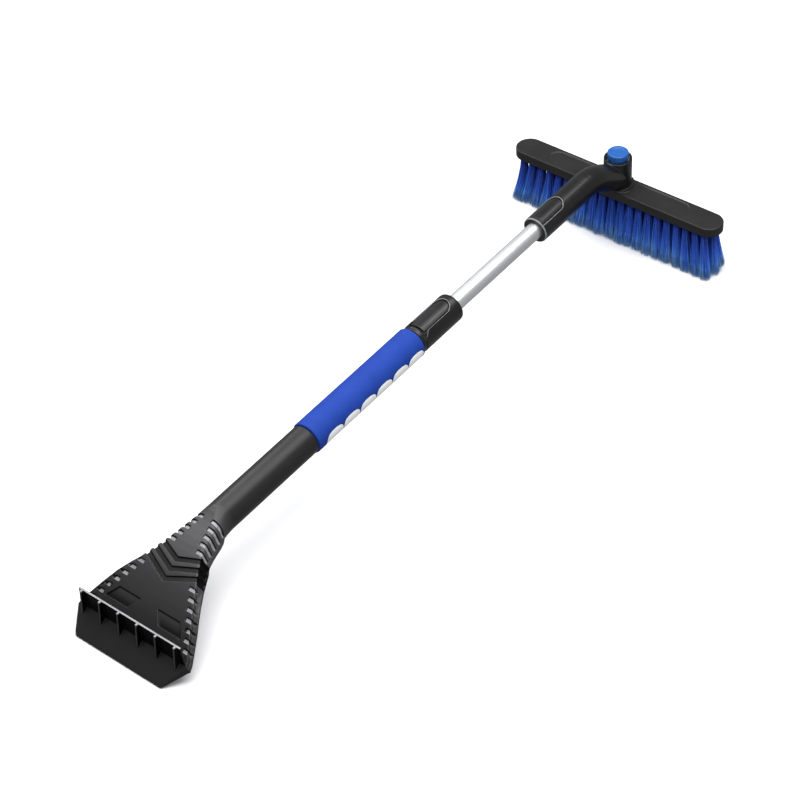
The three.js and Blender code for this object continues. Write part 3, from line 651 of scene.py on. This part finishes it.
def notch_zones(at, half):
    """Where the upper and the lower notches lie, as two masks."""
    upper = notch_index(at.reach, UPPER_NOTCHES, half)
    lower = notch_index(at.reach, LOWER_NOTCHES, half)
    in_upper = (upper >= 0) & (at.across > (5.4 + upper * 1.9) * MM)
    in_upper &= at.height > (-3.8 - upper * 0.6) * MM
    in_lower = (lower >= 0) & (at.across > fan_half(at.reach) + (-9.6 + lower * 0.3) * MM)
    return in_upper, in_lower


def v_groove_looks(at, give):
    """Painted shade: black walls and a darker, matt floor in the V grooves."""
    v_place = at.reach + V_SWEEP * at.across
    in_v = (v_place > V_ZONE[0]) & (v_place < V_ZONE[1]) & (at.depth > 0.3 * MM) & (at.up > -0.1)
    give("recess_shade", in_v & (at.up < 0.8))
    give("groove_shade", in_v & (at.up >= 0.72) & (at.depth > 1.1 * MM))


def notch_looks(at, give):
    """Painted shade on the walls across each notch, a painted glint on its floor, and painted
    highlights, bright or faint, on its edges outside it.
    """
    in_upper, in_lower = notch_zones(at, NOTCH_WALL)
    walls = (at.depth > 0.4 * MM) & (np.abs(at.forward) > 0.45) & (at.up > -0.2)
    give("recess_shade", (in_upper | in_lower) & walls)
    floor_upper, floor_lower = notch_zones(at, NOTCH_HALF)
    inside_edge = at.across < fan_half(at.reach) - FAN_EDGE
    give("notch_glint", floor_lower & inside_edge & (at.up > 0.6) & (at.depth > 0.8 * MM))
    give("notch_glint", floor_upper & (at.up > 0.72) & (at.depth > 0.5 * MM))
    give("notch_glint", floor_upper & (at.up < 0.66) & (at.up > -0.1) & (at.sideways > 0.6))
    side_wall = (at.up < 0.7) & (at.up > 0.1) & (at.sideways > 0.5)
    give("fin_edge_highlight", floor_lower & side_wall & (at.depth > 2 * MM))


def pocket_looks(at, give):
    """Painted shade on the walls of the two pockets, and painted sheen on their floors."""
    in_pocket = (at.reach > POCKET_REAR) & (at.reach < POCKET_FRONT)
    in_pocket &= (at.across > POCKET_INNER) & (at.across < POCKET_OUTER)
    in_pocket &= (at.depth > 0.35 * MM) & (at.depth < 3 * MM) & (at.up > 0)
    give("recess_shade", in_pocket)
    give("pocket_sheen", in_pocket & (at.depth > 1.3 * MM) & (at.up > 0.78))


def front_looks(at, give):
    """Painted shade on the faces between the fins, faint painted highlights on the fins' edges and a
    painted highlight on top of the upright wall.
    """
    in_front = (at.reach > 771.1 * MM) & (at.depth < -0.8 * MM)
    give("recess_shade", in_front & ((at.forward > 0.5) | (at.sideways > 0.5)))
    give("fin_edge_highlight", in_front & (at.reach > FINS_FROM) & (at.forward > 0.45))
    on_wall = (at.reach > WALL_BACK) & (at.reach < WALL_FRONT)
    give("edge_highlight", on_wall & (at.height > WALL_TOP - 0.45 * MM))


def scraper_looks(mesh):
    """The look of each face, as an index into SCRAPER_LOOKS."""
    at = face_places(mesh)
    at.depth = np.interp(at.reach, np.array(TOP_REACH) * MM, np.array(TOP_HEIGHT) * MM) - at.height
    looks = np.zeros(len(at.reach), np.int32)

    def give(look, where):
        looks[where] = SCRAPER_LOOKS.index(look)

    v_groove_looks(at, give)
    notch_looks(at, give)
    pocket_looks(at, give)
    front_looks(at, give)
    return looks


def true_sleeve(mesh):
    """Makes the sleeve behind the neck exactly round again."""
    places = np.zeros(len(mesh.vertices) * 3)
    mesh.vertices.foreach_get("co", places)
    pole = np.array(POLE)
    local = (places.reshape(-1, 3) - pole[:3, 3]) @ pole[:3, :3]
    reach = -local[:, 1]
    radius = np.hypot(local[:, 0], local[:, 2])
    outside = (reach < SLEEVE_END) & (reach > SLEEVE_START) & (radius > SLEEVE_RADIUS - SLEEVE_SLACK)
    local[outside, 0] *= SLEEVE_RADIUS / radius[outside]
    local[outside, 2] *= SLEEVE_RADIUS / radius[outside]
    mesh.vertices.foreach_set("co", (local @ pole[:3, :3].T + pole[:3, 3]).ravel())
    mesh.update()


def scraper_piece(materials):
    """The scraper with the small radii of a moulding, and painted shade in its recesses and painted
    highlights on its edges.
    """
    obj = rounded_copy("scraper_head", "scraper_moulding", SCRAPER_VOXEL)
    true_sleeve(obj.data)
    paint(obj, *(materials[look] for look in SCRAPER_LOOKS))
    obj.data.polygons.foreach_set("material_index", scraper_looks(obj.data))
    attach(obj, "handle")
    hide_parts("scraper_head")
    return obj


# ---------------------------------------------------------------- collar and elbow


def rim_faces(mesh, node):
    """Faces on the rounded rim of a tongue's window, and on the rim of the elbow's mouth, which get a
    painted highlight.
    """
    start, end, half = TONGUES[node]
    at = face_places(mesh)
    flare = np.clip((at.reach - FLARE_START) / FLARE_LENGTH, 0, 1) * FLARE_OUT
    to_round = np.hypot(at.across, np.minimum(at.reach - start - half, 0.0))
    rim = np.abs(to_round - half - flare - RIM_OUT) < RIM_WIDTH / 2
    rim &= (at.height > 8.0 * MM) & (at.reach > start - 2 * MM) & (at.reach < end + 2 * MM)
    if node == "lock_collar":
        return rim
    radius = np.hypot(at.across, at.height)
    mouth = (at.reach > ELBOW_MOUTH - 0.9 * MM) & (radius > MOUTH_RADII[0]) & (radius < MOUTH_RADII[1])
    return rim | (mouth & (at.height > -12 * MM))


def window_piece(node, name, materials):
    """A moulding with a tongue's window in it, whose rim has a painted highlight."""
    obj = rounded_copy(node, name, WINDOW_VOXEL)
    paint(obj, materials["black"], materials["edge_highlight"])
    obj.data.polygons.foreach_set("material_index", rim_faces(obj.data, node).astype(np.int32))
    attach(obj, NODES[node]["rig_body"])
    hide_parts(node)
    return obj


# ---------------------------------------------------------------- bristles


def filament_rings(root, tip, bow):
    """Ring centres from root to tip: straight at first, then bending out."""
    centres = []
    for k in range(FILAMENT_RINGS):
        t = k / (FILAMENT_RINGS - 1)
        out = 0.55 * t + 0.45 * t * t
        bend = math.sin(math.pi * t)
        x = root.x + (tip.x - root.x) * out + bow.x * bend
        y = root.y + (tip.y - root.y) * out + bow.y * bend
        z = root.z + (tip.z - root.z) * t
        centres.append(Vector((x, y, z)))
    return centres


def add_filament(vertices, faces, centres, turn):
    """A thin three-sided closed filament that narrows to its tip."""
    first = len(vertices)
    last_ring = len(centres) - 1
    for k, centre in enumerate(centres):
        radius = FILAMENT_RADIUS * (1.0 - FILAMENT_TAPER * k / last_ring)
        for side in range(3):
            angle = turn + side * math.tau / 3
            vertices.append(centre + Vector((math.cos(angle), math.sin(angle), 0)) * radius)
    for k in range(last_ring):
        for side in range(3):
            a = first + 3 * k + side
            b = first + 3 * k + (side + 1) % 3
            faces.append((a, a + 3, b + 3, b))
    tip = first + 3 * last_ring
    faces.append((first, first + 1, first + 2))
    faces.append((tip + 2, tip + 1, tip))


def disc_point(radius):
    angle = random.uniform(0, math.tau)
    reach = radius * math.sqrt(random.random())
    return reach * math.cos(angle), reach * math.sin(angle)


def add_tuft(vertices, faces, row, share, root_z, tip_z, centre_y):
    """A round bunch of filaments that spreads towards the floor, at -1 to 1 along its row."""
    tip_low, tip_high = (y * MM for y in row["tip_y"])
    tip_half = row["tip_half"] * MM
    tuft_x = share * row["root_half"] * MM
    tip_centre = share * (tip_half - 0.7 * TIP_SPREAD) + random.uniform(-TUFT_WANDER, TUFT_WANDER)
    shorter = random.uniform(0, TUFT_SHORTER)
    strands = [disc_point(1.0) for _ in range(TUFT_STRANDS)]
    for k in range(FILAMENTS):
        dx, dy = disc_point(1.0)
        strand_x, strand_y = strands[k % TUFT_STRANDS]
        dx = dx * LOOSE + strand_x * (1 - LOOSE)
        dy = dy * LOOSE + strand_y * (1 - LOOSE)
        root_y = centre_y + row["root_y"] * MM + dy * TUFT_RADIUS
        root = Vector((tuft_x + dx * TUFT_RADIUS, root_y, root_z + ROOT_SUNK))
        tip_x = tip_centre + dx * TIP_SPREAD + random.gauss(0, TIP_JITTER)
        tip_x = min(max(tip_x, -tip_half), tip_half)
        across = min(max(dy * 0.5 + 0.5 + random.gauss(0, 0.07), 0.0), 1.0)
        tip_y = centre_y + tip_low + (tip_high - tip_low) * across
        lift = shorter + abs(random.gauss(0, 0.35)) * TIP_UNEVEN
        tip = Vector((tip_x, tip_y, tip_z + lift))
        bow = Vector((random.gauss(0, FILAMENT_BOW), random.gauss(0, FILAMENT_BOW), 0))
        add_filament(vertices, faces, filament_rings(root, tip, bow), random.uniform(0, 2))


def bristle_row(node, name, material):
    """One row of tufts under the plate."""
    low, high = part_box(node)
    plate_low, plate_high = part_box("brush_plate")
    centre_y = (plate_low.y + plate_high.y) / 2
    vertices, faces = [], []
    for i in range(TUFTS):
        share = i / (TUFTS - 1) * 2 - 1
        add_tuft(vertices, faces, ROWS[node], share, high.z, low.z, centre_y)
    obj = new_object(name, vertices, faces, material)
    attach(obj, "brush_head")
    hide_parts(node)
    return obj


# ---------------------------------------------------------------- stage, light and camera


def make_floor():
    """A pale floor that the object's plastic doesn't reflect, which keeps its blacks deep."""
    corners = [(x * FLOOR_HALF, y * FLOOR_HALF, 0) for x, y in ((-1, -1), (1, -1), (1, 1), (-1, 1))]
    mesh = bpy.data.meshes.new("floor")
    mesh.from_pydata(corners, [], [(0, 1, 2, 3)])
    floor = add_object("floor", mesh)
    material, shader = new_material("pale_floor", 0.85)
    shader.inputs["Base Color"].default_value = (0.86, 0.86, 0.87, 1)
    paint(floor, material)
    floor.location.z = -FLOOR_BELOW
    floor.visible_diffuse = False
    floor.visible_glossy = False


def area_light(name, at, aim, size, power):
    data = bpy.data.lights.new(name, "AREA")
    data.shape = "RECTANGLE"
    data.size, data.size_y = size
    data.energy = power
    light = add_object(name, data)
    light.location = at
    light.rotation_euler = (Vector(aim) - Vector(at)).to_track_quat("-Z", "Y").to_euler()


def make_light():
    scene = bpy.context.scene
    scene.view_settings.view_transform = "Standard"
    world = bpy.data.worlds.new("studio")
    scene.world = world
    world.use_nodes = True
    background = world.node_tree.nodes["Background"]
    background.inputs["Color"].default_value = (0.97, 0.98, 1.0, 1)
    background.inputs["Strength"].default_value = WORLD_STRENGTH
    for name, light in LIGHTS.items():
        area_light(name, **light)


def make_camera():
    data = bpy.data.cameras.new("camera")
    data.lens = CAMERA_LENS
    data.sensor_width = CAMERA_SENSOR
    data.clip_start, data.clip_end = 0.05, 50.0
    camera = add_object("camera", data)
    right = CAMERA_RIGHT.normalized()
    up = -CAMERA_DOWN.normalized()
    up = (up - right * up.dot(right)).normalized()
    back = right.cross(up)
    turn = Matrix((right, up, back)).transposed()
    camera.matrix_world = Matrix.Translation(CAMERA_AT) @ turn.to_4x4()
    bpy.context.scene.camera = camera


# ---------------------------------------------------------------- putting it together

materials = make_materials()
finish_nodes(materials)
scraper_piece(materials)
window_piece("lock_collar", "collar_moulding", materials)
window_piece("elbow_housing", "elbow_moulding", materials)
foam_grip(materials)
bristle_row("bristles_front", "filaments_front", materials["bristle"])
bristle_row("bristles_middle", "filaments_middle", materials["bristle"])
bristle_row("bristles_back", "filaments_back", materials["bristle"])
make_floor()
make_light()
make_camera()
